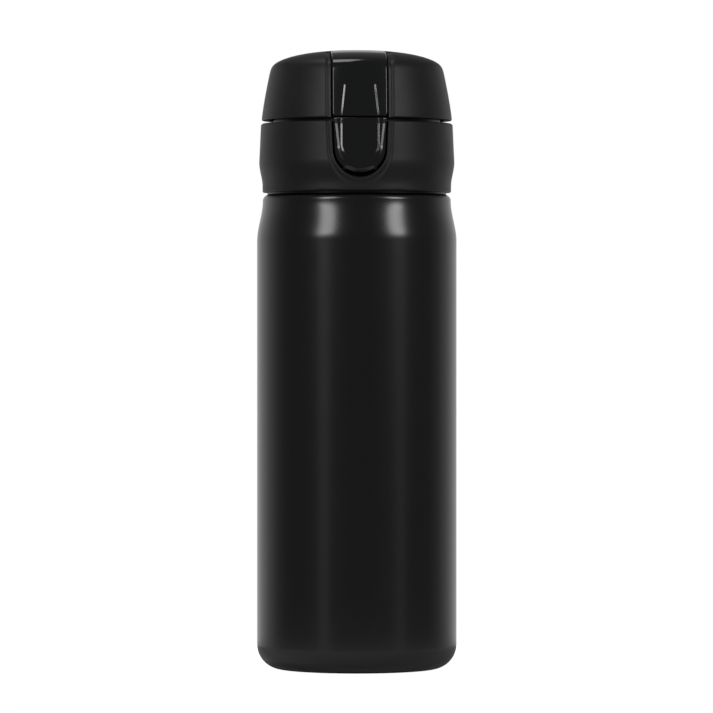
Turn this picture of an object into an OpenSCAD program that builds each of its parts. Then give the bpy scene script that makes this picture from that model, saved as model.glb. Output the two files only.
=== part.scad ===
// One-touch vacuum flask. The bottle stands on z = 0 with its axis on Z, the button and the
// lock slider face -Y and the lid hinge is at +Y. Millimetres throughout.

/* [Bottle] */
// Outside diameter of the straight barrel
barrel_d = 66; // [65.6:0.1:66.4]
// Height of the rolled lip above the foot
lip_z = 156.8; // [150:0.2:170]
// Radius of the rounded corner at the base
base_corner_r = 8; // [6:0.5:9]
// Thickness of the steel sheet in both walls
steel_wall = 0.6; // [0.4:0.05:0.6]
// Width of the vacuum gap between the two walls
vacuum_gap = 2; // [1.8:0.1:2.2]
// Height of the outer shoulder's curve below the lip
shoulder_h = 15.3; // [12:0.1:16]

/* [Screw thread] */
// Rise of the thread in one turn
thread_pitch = 5; // [4.6:0.1:5.2]
// Radius of the thread's root in the bottle neck
neck_r = 24; // [23.9:0.05:24.1]
// Radius of the sealing bore below the thread
seal_bore_r = 22.9; // [22.85:0.01:22.95]

/* [Stopper] */
// Height of the stopper's outer collar
collar_h = 22.8; // [22.6:0.1:23]
// Radius of the inner rim that shows in the gap under the lid
rim_r = 27.6; // [27.4:0.1:27.8]
// Bore radius of the drinking spout
spout_bore_r = 9.3; // [9:0.1:9.6]

/* [Lid] */
// Height of the lid
lid_h = 23.15; // [22.8:0.05:23.6]
// Gap between the collar and the lid
lid_gap = 1; // [0.9:0.05:1.2]
// Thickness of the lid's moulded wall
lid_wall = 2.2; // [1.8:0.1:2.4]

/* [Hinge] */
// Distance of the hinge pin from the bottle's axis
hinge_y = 32.4; // [32.2:0.1:32.8]
// Radius of the hinge pin
pin_r = 1.5; // [1.2:0.1:1.6]
// Radius of the hinge knuckles
knuckle_r = 3; // [2.8:0.1:3.1]

/* [Button and lock] */
// Half the width of the button at its top
button_half_w = 8.8; // [8.4:0.1:9]
// How far the button presses in
button_travel = 2.2; // [1.8:0.1:2.3]
// Half the width of the lock slider
slider_half_w = 9; // [8.6:0.1:9.2]
// How far the lock slider moves up the lid
lock_travel = 2; // [1.5:0.1:2.2]

/* [Hidden] */
$fn = 96;
eps = 0.01;
ARC_STEPS = 8;
CURVE_STEPS = 12;

// Bottle
shell_r = barrel_d / 2;
vessel_r = shell_r - steel_wall - vacuum_gap;
foot_r = shell_r - base_corner_r;
foot_in_r = 22;
pan_z = 2.4;
recess_depth = 1.8;
recess_rim = 0.65;
cover_clearance = 0.05;
seal_hole_r = 1.5;
bead_r = 3;
bead_h = 0.8;
lip_round = 1.2;
shoulder_in = 1.9;
lip_side_r = shell_r - shoulder_in;
shoulder_z = lip_z - shoulder_h;
vessel_z = 6.6;
vessel_corner_r = 7;
vessel_shoulder_z = lip_z - 26.8;
vessel_neck_z = lip_z - 17.8;
thread_z = lip_z - 10.8;
thread_mid_z = lip_z - 5.8;
foil_gap = 0.05;
foil_t = 0.12;
foil_margin = 3;
getter_r = 4;
getter_h = 1.1;

// Thread
ridge_h = 1;
ridge_root_w = 2;
ridge_crest_w = 1;
ridge_turns = 1.4;
ridge_steps = 48;
ridge_bite = 0.2;
ridge_fade_steps = 4;
plug_r = neck_r - 1.4;
plug_ridge_r = neck_r - 0.25;

// Stopper
plug_wall = 2;
plug_z = lip_z - 17.9;
plug_floor = 1.2;
gasket_z = lip_z - 16.5;
gasket_h = 4.4;
gasket_in_r = 20.75;
gasket_lip_r = seal_bore_r - 0.1;
gasket_body_r = 22.2;
gasket_rib_z = 0.8;
gasket_rib_h = 0.4;
gasket_rib_foot = 0.6;
gasket_clearance = 0.2;
groove_r = 20.6;
flange_z = lip_z + 0.1;
flange_h = 1.5;
flange_r = 29.6;
collar_z = lip_z + 0.7;
collar_top = collar_z + collar_h;
collar_in_r = 29.8;
collar_foot_r = 31.2;
collar_max_r = 32.3;
collar_max_z = collar_z + 10;
collar_step_z = collar_z + 2;
collar_top_r = 31.75;
collar_round = 0.8;
collar_lid_t = 1.5;
passage_r = 14;
passage_wall = 2;
deck_z = lip_z + 19.2;
deck_h = 2;
rim_wall = 2;
rim_top = collar_top + 3.7;
rim_chamfer = 0.5;
socket_clearance = 0.2;
spout_wall = 2.2;
spout_top = lip_z + 36.2;
spout_foot_r = 14;
spout_foot_h = 1.5;
spout_socket_r = 12;
spout_socket_z = deck_z - 4;
base_seal_gap = 0.8;
base_seal_h = 2;

// Lid
lid_z = collar_top + lid_gap;
lid_foot_r = 31.5;
lid_crest_r = 28.55;
lid_crest_h = 17;
lid_dome_h = lid_h - lid_crest_h;
lid_side_power = 1.25;
lid_dome_power = 3.6;
lid_dome_round = 0.62;
lid_edge_round = 0.4;
liner_z = lid_z + 3.5;
liner_h = 1.6;
liner_r = 28.6;
liner_flat_y = -26.2;
liner_flat_half_w = slider_half_w + 0.6;
cup_r = 14;
cup_wall = 1.5;
cup_top = spout_top + 3.3;
seal_gap = 0.3;
seal_r = 12.6;
seal_h = 1.5;
seal_taper = 0.5;
seal_plug_r = spout_bore_r - 0.9;
seal_stem_r = 3;

// Hinge
hinge_z = lid_z - 0.5;
lug_in = 7.2;
lug_out = 11.4;
lug_end = 0.8;
lug_root_y = 24;
lug_web_z = collar_top - 4.8;
lid_knuckle_in = 3.6;
lid_knuckle_out = 6.9;
knuckle_neck_z = lid_z + 3.25;
pin_clearance = 0.05;
notch_half_w = 11.9;
notch_z = lug_web_z - 0.2;
lid_notch_h = 3.3;
lid_spring_r = 2.2;
lid_spring_wire = 0.35;
lid_spring_turns = 4;
lid_spring_l = 3;
lid_spring_leg_down = 4.4;
lid_spring_leg_up = 3;

// Button, latch and catch
button_back_r = 30.4;
button_top = lid_z - 0.1;
button_low_half_w = 8.3;
button_low_z = collar_z + 13.8;
button_gap = 0.5;
pocket_grow = 1.6;
pocket_r = 30.8;
dish_half_w = 6.35;
dish_depth = 1;
dish_low_z = button_low_z + 1.65;
latch_z = collar_z + 16.1;
latch_t = 1.6;
latch_half_w = 6.5;
latch_back_y = -28;
latch_front_y = -29.2;
latch_end_y = -19.2;
latch_boss_half_w = 4;
latch_plate_wider = 1.5;
latch_boss_drop = 3;
window_half_w = 3.8;
catch_half_w = 3;
catch_y = [-24.2, -22.2];
window_y = [catch_y[0] - button_travel - 1.2, -20.85];
catch_nose_y = -21;
catch_low_z = latch_z - 1.8;
catch_nose_z = latch_z - 0.4;
catch_lead_h = 0.9;
slot_y = [-25.2, -20.2];
slot_half_w = 4;
rail_in = 6.7;
rail_w = 2;
rail_y = [-24, -17];
rail_low_z = latch_z - 1.6;
ledge_w = 1.5;
ledge_h = 1.4;
spring_z = button_low_z - 2.9;
button_spring_r = 2.6;
button_spring_wire = 0.35;
button_spring_turns = 5;
spring_seat_y = -17.4;
spring_seat_half_w = 4.5;
spigot_r = 2;
spigot_l = 3;
rim_window_half_w = 7.5;
rim_window_z = collar_z + 3;

// Lock
slider_z = lid_z + 0.4;
slider_t = 2.4;
slider_end_y = -12;
channel_gap = 0.3;
channel_depth = 2.6;
channel_floor = 4;
channel_end_gap = 0.8;
slope = atan((lid_foot_r - lid_crest_r) / lid_crest_h);
lock_slot_half_w = 3.2;
neck_half_w = 3;
neck_s = [6.6, 9.6];
slot_s = [neck_s[0] - 1, neck_s[1] + lock_travel + 2];
keeper_half_w = 4.8;
keeper_s = [6, 10.8];
keeper_depth = 4.65;
keeper_t = 1;
lock_dish_top_half_w = 5.05;
lock_dish_h = 12;
lock_dish_round = 2;

// Coil springs
spring_clearance = 0.05;
coil_steps = 20;
coil_sides = 8;

// Smooth step from 0 to 1 as u runs from 0 to 1
function smooth(u) = u * u * (3 - 2 * u);
// Points on an arc, both ends included
function arc(cx, cy, r, a0, a1) =
    [for (i = [0:ARC_STEPS]) let (a = a0 + (a1 - a0) * i / ARC_STEPS)
        [cx + r * cos(a), cy + r * sin(a)]];
function backwards(v) = [for (i = [len(v) - 1:-1:0]) v[i]];

// Outer shoulder of the bottle, moved in by t, from the barrel up to the lip
function shoulder(t) =
    [for (i = [0:CURVE_STEPS]) let (u = i / CURVE_STEPS)
        [shell_r - t - shoulder_in * smooth(u), shoulder_z + (shoulder_h - lip_round) * u]];
// Shoulder of the inner vessel, moved in by t, from its wall up to the neck
function vessel_shoulder(t) =
    [for (i = [0:CURVE_STEPS]) let (u = i / CURVE_STEPS)
        [vessel_r - t - (vessel_r - seal_bore_r - steel_wall) * smooth(u),
         vessel_shoulder_z + (vessel_neck_z - vessel_shoulder_z) * u]];
// Outside of the stopper's collar, from its foot up to its rounded top edge
function collar_side() = concat(
    [for (i = [0:CURVE_STEPS]) let (u = i / CURVE_STEPS)
        [collar_foot_r + (collar_max_r - collar_foot_r) * smooth(u),
         collar_step_z + (collar_max_z - collar_step_z) * u]],
    arc(collar_top_r - collar_round, collar_top - collar_round, collar_round, 0, 90));
// Radius of the lid's side at height z, and the lid's outside moved in by t
function lid_side_r(z) = lid_crest_r
    + (lid_foot_r - lid_crest_r) * (1 - pow((z - lid_z) / lid_crest_h, lid_side_power));
function lid_side(t, z0) =
    [for (i = [0:CURVE_STEPS]) let (z = z0 + (lid_z + lid_crest_h - z0) * i / CURVE_STEPS)
        [lid_side_r(z) - t, z]];
function lid_dome(t) =
    [for (i = [1:2 * CURVE_STEPS]) let (u = pow(1 - i / (2 * CURVE_STEPS), 2))
        [(lid_crest_r - t) * (1 - u),
         lid_z + lid_crest_h + (lid_dome_h - t) * pow(1 - pow(1 - u, lid_dome_power),
             lid_dome_round)]];
function lid_outside(t, z0) = concat(lid_side(t, z0), backwards(lid_dome(t)),
    [[0, lid_z + lid_h - t], [0, z0]]);

// Outline of the button, larger by g all round
function button_outline(g, top) = concat(
    [[button_half_w + g, top]],
    [for (p = arc(0, button_low_z, button_low_half_w + g, 0, -180)) p],
    [[-button_half_w - g, top]]);

module tube(r_in, r_out, z0, z1) {
    translate([0, 0, z0]) difference() {
        cylinder(h = z1 - z0, r = r_out);
        translate([0, 0, -1]) cylinder(h = z1 - z0 + 2, r = r_in);
    }
}

// A box from its two opposite corners
module block(low, high) {
    translate(low) cube(high - low);
}

// A box that is mirrored in X
module pair(low, high) {
    block(low, high);
    mirror([1, 0, 0]) block(low, high);
}

// An outline drawn in X and Z, as deep as the range y
module front_prism(outline, y) {
    rotate([90, 0, 0]) translate([0, 0, -y[1]]) linear_extrude(y[1] - y[0]) polygon(outline);
}

// An outline drawn in Y and Z, as wide as the range x
module side_prism(outline, x) {
    translate([x[0], 0, 0]) rotate([90, 0, 90]) linear_extrude(x[1] - x[0]) polygon(outline);
}

// A cylinder along X or along Y, with its axis at the given height
module rod_x(r, x, y, z) {
    translate([x[0], y, z]) rotate([0, 90, 0]) cylinder(h = x[1] - x[0], r = r);
}
module rod_y(r, y, z) {
    translate([0, y[1], z]) rotate([90, 0, 0]) cylinder(h = y[1] - y[0], r = r);
}

// Closed sweep of rings that each hold the same number of points
module swept(rings) {
    n = len(rings);
    m = len(rings[0]);
    polyhedron(
        points = [for (r = rings) for (p = r) p],
        faces = concat(
            [[for (j = [0:m - 1]) j]],
            [[for (j = [m - 1:-1:0]) (n - 1) * m + j]],
            [for (i = [0:n - 2]) for (j = [0:m - 1]) let (k = (j + 1) % m)
                each [[i * m + j, (i + 1) * m + j, (i + 1) * m + k],
                      [i * m + j, (i + 1) * m + k, i * m + k]]]));
}

// Right-hand helical ridge from r_root to r_crest, centred on height z
module thread_ridge(r_root, r_crest, z) {
    s = sign(r_crest - r_root);
    swept([for (i = [0:ridge_steps]) let (
            a = 360 * ridge_turns * i / ridge_steps,
            fade = min(1, (i + 0.3) / ridge_fade_steps, (ridge_steps - i + 0.3) / ridge_fade_steps),
            r1 = r_root + (r_crest - r_root) * fade,
            h = z + thread_pitch * (a / 360 - ridge_turns / 2))
        [for (c = s > 0
                ? [[r_root, -ridge_root_w], [r_root, ridge_root_w],
                   [r1, ridge_crest_w], [r1, -ridge_crest_w]]
                : [[r_root, -ridge_root_w], [r1, -ridge_crest_w],
                   [r1, ridge_crest_w], [r_root, ridge_root_w]])
            [c[0] * cos(a), c[0] * sin(a), h + c[1] / 2]]]);
}

// Round wire round the point p of a path in space, whose direction is t and whose side is s
function wire_ring(p, t, s, r) = let (u = cross(t, s)) [for (j = [0:coil_sides - 1])
    let (b = 360 * j / coil_sides) p + r * (cos(b) * s + sin(b) * u)];

// ---------------------------------------------------------------- bottle

module outer_shell() {
    color([0.10, 0.10, 0.10]) rotate_extrude() polygon(concat(
        [[foot_in_r, 0]],
        arc(foot_r, base_corner_r, base_corner_r, -90, 0),
        shoulder(0),
        arc(lip_side_r - lip_round, lip_z - lip_round, lip_round, 0, 90),
        [[neck_r + steel_wall, lip_z], [neck_r + steel_wall, lip_z - steel_wall]],
        arc(lip_side_r - lip_round, lip_z - lip_round, lip_round - steel_wall, 90, 0),
        backwards(shoulder(steel_wall)),
        arc(foot_r, base_corner_r, base_corner_r - steel_wall, 0, -90),
        [[foot_in_r, steel_wall]]));
}

module inner_vessel() {
    color([0.75, 0.75, 0.76]) {
        rotate_extrude() polygon(concat(
                [[0, vessel_z]],
                arc(vessel_r - vessel_corner_r, vessel_z + vessel_corner_r, vessel_corner_r, -90, 0),
                vessel_shoulder(0),
                [[seal_bore_r + steel_wall, thread_z - 1], [neck_r + steel_wall, thread_z],
                 [neck_r + steel_wall, lip_z], [neck_r, lip_z], [neck_r, thread_z],
                 [seal_bore_r, thread_z - 1]],
                backwards(vessel_shoulder(steel_wall)),
                arc(vessel_r - vessel_corner_r, vessel_z + vessel_corner_r,
                    vessel_corner_r - steel_wall, 0, -90),
                [[0, vessel_z + steel_wall]]));
        thread_ridge(neck_r + ridge_bite, neck_r - ridge_h, thread_mid_z);
    }
}

module insulation_foil() {
    color([0.72, 0.45, 0.25]) tube(vessel_r + foil_gap, vessel_r + foil_gap + foil_t,
        vessel_z + vessel_corner_r + foil_margin, vessel_shoulder_z - foil_margin);
}

module vacuum_getter() {
    color([0.5, 0.5, 0.52]) translate([0, 0, vessel_z - getter_h])
        cylinder(h = getter_h, r = getter_r);
}

module base_pan() {
    color([0.7, 0.7, 0.7]) rotate_extrude() polygon([
        [seal_hole_r, pan_z], [foot_in_r - steel_wall, pan_z], [foot_in_r - steel_wall, 0],
        [foot_in_r, 0], [foot_in_r, pan_z + steel_wall], [seal_hole_r, pan_z + steel_wall]]);
}

module vacuum_seal_bead() {
    color([0.6, 0.6, 0.55]) rotate_extrude() polygon([
        [0, pan_z], [seal_hole_r, pan_z], [seal_hole_r, pan_z + steel_wall],
        [bead_r, pan_z + steel_wall], [bead_r - bead_h, pan_z + steel_wall + bead_h],
        [0, pan_z + steel_wall + bead_h]]);
}

// Shallow pressed cup, whose rim lines the recess in the foot
module base_cover() {
    r = foot_in_r - steel_wall - cover_clearance;
    color([0.7, 0.7, 0.7]) rotate_extrude() polygon([
        [0, recess_depth], [r - recess_rim + cover_clearance, recess_depth],
        [r - recess_rim + cover_clearance, 0], [r, 0], [r, pan_z], [0, pan_z]]);
}

// ---------------------------------------------------------------- stopper

module stopper_gasket() {
    z1 = gasket_z + gasket_h;
    color([0.85, 0.85, 0.83]) rotate_extrude() polygon([
        [gasket_in_r, gasket_z], [gasket_body_r, gasket_z],
        [gasket_lip_r, gasket_z + gasket_rib_z],
        [gasket_lip_r, gasket_z + gasket_rib_z + gasket_rib_h],
        [gasket_body_r, gasket_z + gasket_rib_z + gasket_rib_h + gasket_rib_foot],
        [gasket_body_r, z1 - gasket_rib_z - gasket_rib_h - gasket_rib_foot],
        [gasket_lip_r, z1 - gasket_rib_z - gasket_rib_h], [gasket_lip_r, z1 - gasket_rib_z],
        [gasket_body_r, z1], [gasket_in_r, z1]]);
}

// Lugs that carry the pin on either side of the lid's knuckles
module hinge_lug() {
    rod_x(knuckle_r, [lug_in, lug_out], hinge_y, hinge_z);
    side_prism([[lug_root_y, hinge_z], [hinge_y + knuckle_r, hinge_z],
        [hinge_y + knuckle_r / 2, hinge_z - 0.8 * knuckle_r], [collar_in_r, lug_web_z],
        [lug_root_y, lug_web_z]], [lug_in, lug_out]);
}

module stopper_core() {
    color([0.12, 0.12, 0.12]) difference() {
        union() {
            // plug, passage, deck, flange and rim, all turned about the bottle's axis
            rotate_extrude() polygon([
                [passage_r, plug_z], [gasket_body_r - gasket_clearance, plug_z],
                [gasket_body_r - gasket_clearance, plug_z + plug_floor], [groove_r, plug_z + plug_floor],
                [groove_r, gasket_z + gasket_h + gasket_clearance],
                [plug_r, gasket_z + gasket_h + gasket_clearance],
                [plug_r, flange_z], [flange_r, flange_z], [flange_r, flange_z + flange_h],
                [rim_r, flange_z + flange_h], [rim_r, rim_top - rim_chamfer],
                [rim_r - rim_chamfer, rim_top], [rim_r - rim_wall + rim_chamfer, rim_top],
                [rim_r - rim_wall, rim_top - rim_chamfer],
                [rim_r - rim_wall, deck_z + deck_h], [spout_socket_r + socket_clearance, deck_z + deck_h],
                [spout_socket_r + socket_clearance, deck_z], [passage_r, deck_z]]);
            thread_ridge(plug_r - ridge_bite, plug_ridge_r, thread_mid_z + thread_pitch / 2);
            hinge_lug();
            mirror([1, 0, 0]) hinge_lug();
            block([-lid_spring_l, rim_r - 1, lug_web_z],
                [0, hinge_y - lid_spring_r - lid_spring_wire - spring_clearance, lug_web_z + 2]);
        }
        // chamber round the passage, under the deck
        tube(passage_r + passage_wall, groove_r - plug_wall, plug_z + plug_floor,
            gasket_z + gasket_h + plug_wall);
        tube(passage_r + passage_wall, plug_r - plug_wall, gasket_z + gasket_h + plug_wall,
            flange_z + flange_h);
        difference() {
            tube(passage_r + passage_wall, rim_r - rim_wall, flange_z + flange_h, deck_z);
            rod_y(spigot_r, [spring_seat_y - spigot_l, spring_seat_y + 1], spring_z);
            block([-spring_seat_half_w, spring_seat_y, spring_z - spring_seat_half_w],
                [spring_seat_half_w, -passage_r, spring_z + spring_seat_half_w]);
            pair([rail_in, rail_y[0], rail_low_z], [rail_in + rail_w, rail_y[1], deck_z + 1]);
            pair([rail_in - ledge_w, rail_y[0], rail_low_z],
                [rail_in + eps, rail_y[1], rail_low_z + ledge_h]);
        }
        // front window for the latch, and the catch's slot in the deck
        block([-rim_window_half_w, -rim_r - 1, rim_window_z],
            [rim_window_half_w, -rim_r + 5, deck_z]);
        block([-slot_half_w, slot_y[0], deck_z - 1], [slot_half_w, slot_y[1], deck_z + deck_h + 1]);
        rod_x(pin_r, [-lug_out + lug_end, lug_out - lug_end], hinge_y, hinge_z);
    }
}

module stopper_collar() {
    color([0.14, 0.14, 0.13]) difference() {
        rotate_extrude() polygon(concat(
            [[collar_in_r, collar_z], [collar_foot_r - lid_edge_round, collar_z],
             [collar_foot_r, collar_z + lid_edge_round]],
            collar_side(),
            [[rim_r + 0.15, collar_top], [rim_r + 0.15, collar_top - collar_lid_t],
             [collar_in_r, collar_top - collar_lid_t]]));
        front_prism(button_outline(button_gap, collar_top + 1), [-shell_r - 1, -rim_r + 2]);
        difference() {
            front_prism(button_outline(pocket_grow, collar_top + 1), [-shell_r - 1, -rim_r + 4]);
            cylinder(h = collar_top + 2, r = pocket_r);
        }
        block([-notch_half_w, hinge_y / 2, notch_z], [notch_half_w, shell_r + 1, collar_top + 1]);
    }
}

module spout() {
    r1 = spout_bore_r + spout_wall;
    color([0.13, 0.13, 0.13]) rotate_extrude() polygon(concat(
        [[spout_bore_r, spout_socket_z], [spout_socket_r, spout_socket_z],
         [spout_socket_r, deck_z + deck_h], [spout_foot_r, deck_z + deck_h],
         [spout_foot_r, deck_z + deck_h + spout_foot_h], [r1, deck_z + deck_h + spout_foot_h]],
        arc(r1 - spout_wall / 2, spout_top - spout_wall / 2, spout_wall / 2, 0, 180)));
}

module spout_base_seal() {
    color([0.8, 0.8, 0.78]) tube(spout_socket_r, passage_r - 0.1,
        spout_socket_z + base_seal_gap, spout_socket_z + base_seal_gap + base_seal_h);
}

module hinge_pin() {
    color([0.75, 0.75, 0.76])
        rod_x(pin_r, [-lug_out + lug_end, lug_out - lug_end], hinge_y, hinge_z);
}

module lid_spring() {
    x0 = -lid_spring_l / 2;
    turn = 360 * lid_spring_turns;
    n = coil_steps * lid_spring_turns;
    color([0.7, 0.7, 0.7]) swept(concat(
        [wire_ring([x0, hinge_y - lid_spring_r, hinge_z - lid_spring_leg_down],
            [0, 0, 1], [1, 0, 0], lid_spring_wire)],
        [for (i = [0:n]) let (a = 180 - turn * i / n)
            wire_ring([x0 + lid_spring_l * i / n, hinge_y + lid_spring_r * cos(a),
                hinge_z + lid_spring_r * sin(a)], [0, sin(a), -cos(a)], [1, 0, 0],
                lid_spring_wire)],
        [wire_ring([-x0, hinge_y - lid_spring_r, hinge_z + lid_spring_leg_up],
            [0, 0, 1], [1, 0, 0], lid_spring_wire)]));
}

// ---------------------------------------------------------------- button

module open_button() {
    color([0.11, 0.12, 0.12]) difference() {
        intersection() {
            rotate_extrude() polygon(concat(
                [[button_back_r, collar_z], [collar_foot_r, collar_z]],
                [for (p = collar_side()) if (p[1] < collar_top - 2) p],
                [[collar_top_r, button_top], [button_back_r, button_top]]));
            front_prism(button_outline(0, button_top + 1), [-shell_r - 1, -rim_r + 4]);
        }
        front_prism(concat([[dish_half_w, button_top + 1]],
            arc(0, dish_low_z, dish_half_w, 0, -180), [[-dish_half_w, button_top + 1]]),
            [-shell_r - 1, -collar_max_r + dish_depth]);
    }
}

module latch_slide() {
    color([0.8, 0.8, 0.78]) {
        difference() {
            block([-latch_half_w, latch_front_y, latch_z],
                [latch_half_w, latch_end_y, latch_z + latch_t]);
            block([-window_half_w, window_y[0], latch_z - 1],
                [window_half_w, window_y[1], latch_z + latch_t + 1]);
        }
        block([-latch_boss_half_w - latch_plate_wider, latch_front_y, spring_z - latch_boss_drop - 1],
            [latch_boss_half_w + latch_plate_wider, latch_back_y, latch_z + eps]);
        intersection() {
            block([-latch_boss_half_w, -button_back_r - 1, spring_z - latch_boss_drop],
                [latch_boss_half_w, latch_front_y + eps, latch_z]);
            cylinder(h = lid_z, r = button_back_r);
        }
        rod_y(spigot_r, [latch_back_y - eps, latch_back_y + spigot_l], spring_z);
    }
}

module button_spring() {
    y0 = latch_back_y + button_spring_wire + spring_clearance;
    l = spring_seat_y - button_spring_wire - spring_clearance - y0;
    n = coil_steps * button_spring_turns;
    color([0.7, 0.7, 0.7]) swept([for (i = [0:n]) let (a = 360 * i * button_spring_turns / n)
        wire_ring([button_spring_r * sin(a), y0 + l * i / n, spring_z + button_spring_r * cos(a)],
            [cos(a), 0, -sin(a)], [sin(a), 0, cos(a)], button_spring_wire)]);
}

// ---------------------------------------------------------------- lid

// Frame that lies on the front of the lid at the slider's lower edge, with Z up the slope
module on_lid_front() {
    translate([0, -lid_side_r(slider_z), slider_z]) rotate([-slope, 0, 0]) children();
}

module lid_shell() {
    color([0.14, 0.14, 0.13]) difference() {
        rotate_extrude() polygon(lid_outside(0, lid_z));
        // hollow, which leaves a thicker pad behind the channel
        difference() {
            rotate_extrude() polygon(lid_outside(lid_wall, lid_z));
            block([-slider_half_w - 2, -shell_r - 1, liner_z + liner_h + 0.2],
                [slider_half_w + 2, slider_end_y + 3, lid_z + lid_h + 1]);
        }
        rotate_extrude() polygon(lid_outside(channel_floor, lid_z));
        // channel for the slider, and the slot in its floor
        difference() {
            block([-slider_half_w - channel_gap, -shell_r - 1, lid_z - 1],
                [slider_half_w + channel_gap, slider_end_y + channel_end_gap, lid_z + lid_h + 1]);
            rotate_extrude() polygon(lid_outside(channel_depth, lid_z));
        }
        on_lid_front() block([-lock_slot_half_w, 0, slot_s[0]],
            [lock_slot_half_w, channel_floor + 3, slot_s[1]]);
        block([-notch_half_w - 0.1, hinge_y / 2, lid_z - 1],
            [notch_half_w + 0.1, shell_r + 1, lid_z + lid_notch_h]);
    }
}

// Knuckle on the lid's liner, on one side of the spring
module lid_knuckle() {
    rod_x(knuckle_r, [lid_knuckle_in, lid_knuckle_out], hinge_y, hinge_z);
    side_prism([[hinge_y - knuckle_r, hinge_z], [hinge_y + knuckle_r, hinge_z],
        [hinge_y + knuckle_r / 2, hinge_z + 0.8 * knuckle_r], [hinge_y - 1, knuckle_neck_z],
        [liner_r, knuckle_neck_z], [liner_r, liner_z + liner_h], [liner_r - 3, liner_z + liner_h],
        [liner_r - 3, liner_z], [rim_r + 0.6, liner_z], [rim_r + 0.6, hinge_z + 1.7]],
        [lid_knuckle_in, lid_knuckle_out]);
}

module lid_liner() {
    color([0.2, 0.2, 0.2]) difference() {
        union() {
            rotate_extrude() polygon([
                [cup_r, liner_z], [liner_r, liner_z], [liner_r, liner_z + liner_h],
                [cup_r + cup_wall, liner_z + liner_h], [cup_r + cup_wall, cup_top],
                [seal_stem_r, cup_top], [seal_stem_r, cup_top - cup_wall],
                [cup_r, cup_top - cup_wall]]);
            side_prism([[catch_y[0], liner_z + eps], [catch_y[0], catch_low_z],
                [catch_y[1], catch_low_z], [catch_nose_y, catch_low_z + catch_lead_h],
                [catch_nose_y, catch_nose_z], [catch_y[1], catch_nose_z],
                [catch_y[1], liner_z + eps]], [-catch_half_w, catch_half_w]);
            lid_knuckle();
            mirror([1, 0, 0]) lid_knuckle();
        }
        rod_x(pin_r + pin_clearance, [-lug_in, lug_in], hinge_y, hinge_z);
        // flat at the front, clear of the back of the lock slider
        block([-liner_flat_half_w, -liner_r - 1, liner_z - 1],
            [liner_flat_half_w, liner_flat_y, liner_z + liner_h + 1]);
    }
}

module spout_seal() {
    z0 = spout_top + seal_gap;
    color([0.85, 0.85, 0.83]) rotate_extrude() polygon([
        [0, z0 - seal_h], [seal_plug_r - seal_taper, z0 - seal_h], [seal_plug_r, z0], [seal_r, z0],
        [seal_r, z0 + seal_h], [seal_stem_r, z0 + seal_h], [seal_stem_r, cup_top],
        [0, cup_top]]);
}

module lock_slider() {
    color([0.11, 0.12, 0.12]) difference() {
        union() {
            difference() {
                intersection() {
                    rotate_extrude() polygon(lid_outside(0, lid_z));
                    block([-slider_half_w, -shell_r - 1, slider_z],
                        [slider_half_w, slider_end_y, lid_z + lid_h + 1]);
                }
                rotate_extrude() polygon(lid_outside(slider_t, lid_z));
            }
            on_lid_front() block([-neck_half_w, slider_t - 0.3, neck_s[0]],
                [neck_half_w, keeper_depth, neck_s[1]]);
        }
        on_lid_front() front_prism(concat(
            [[-dish_half_w, -1], [dish_half_w, -1]],
            arc(lock_dish_top_half_w - lock_dish_round, lock_dish_h - lock_dish_round,
                lock_dish_round, 0, 90),
            arc(-lock_dish_top_half_w + lock_dish_round, lock_dish_h - lock_dish_round,
                lock_dish_round, 90, 180)), [-4, dish_depth]);
    }
}

module lock_keeper() {
    color([0.8, 0.8, 0.78]) on_lid_front() block([-keeper_half_w, keeper_depth, keeper_s[0]],
        [keeper_half_w, keeper_depth + keeper_t, keeper_s[1]]);
}

outer_shell();
inner_vessel();
insulation_foil();
vacuum_getter();
base_pan();
vacuum_seal_bead();
base_cover();
stopper_gasket();
stopper_core();
stopper_collar();
spout();
spout_base_seal();
hinge_pin();
lid_spring();
open_button();
latch_slide();
button_spring();
lid_shell();
lid_liner();
spout_seal();
lock_slider();
lock_keeper();
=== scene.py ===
import bmesh
import bpy
import math
import numpy as np
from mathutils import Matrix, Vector


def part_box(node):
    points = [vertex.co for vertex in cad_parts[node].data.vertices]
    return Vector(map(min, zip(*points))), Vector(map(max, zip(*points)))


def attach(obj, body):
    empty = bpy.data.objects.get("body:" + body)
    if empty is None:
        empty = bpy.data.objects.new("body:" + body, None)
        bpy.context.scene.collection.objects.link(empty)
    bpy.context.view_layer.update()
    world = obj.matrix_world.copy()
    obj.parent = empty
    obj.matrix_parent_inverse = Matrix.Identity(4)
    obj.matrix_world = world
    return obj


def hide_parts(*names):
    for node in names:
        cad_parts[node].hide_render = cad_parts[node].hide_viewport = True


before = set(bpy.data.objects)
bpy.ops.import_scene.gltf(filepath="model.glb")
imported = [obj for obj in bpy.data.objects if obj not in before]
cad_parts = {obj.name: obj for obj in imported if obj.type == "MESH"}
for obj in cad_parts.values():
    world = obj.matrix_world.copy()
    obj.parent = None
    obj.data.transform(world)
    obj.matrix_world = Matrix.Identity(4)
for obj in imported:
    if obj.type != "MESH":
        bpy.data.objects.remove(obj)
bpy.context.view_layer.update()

# One-touch vacuum flask. Outlines are worked out in millimetres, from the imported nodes' boxes,
# and turned into metres when a mesh is made. Front is -Y, the hinge is at +Y.
MM = 0.001


def low(node):
    """Lowest corner of a CAD node, in millimetres."""
    return np.array(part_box(node)[0]) / MM


def high(node):
    """Highest corner of a CAD node, in millimetres."""
    return np.array(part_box(node)[1]) / MM


# ---------------------------------------------------------------- sizes from the frame

SHELL_R = high("outer_shell")[0]
LIP_Z = high("outer_shell")[2]
COLLAR_Z = low("stopper_collar")[2]
COLLAR_TOP = high("stopper_collar")[2]
LID_Z = low("lid_shell")[2]
LID_TOP = high("lid_shell")[2]
RIM_R = 27.6
SPOUT_TOP = high("spout")[2]

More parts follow.
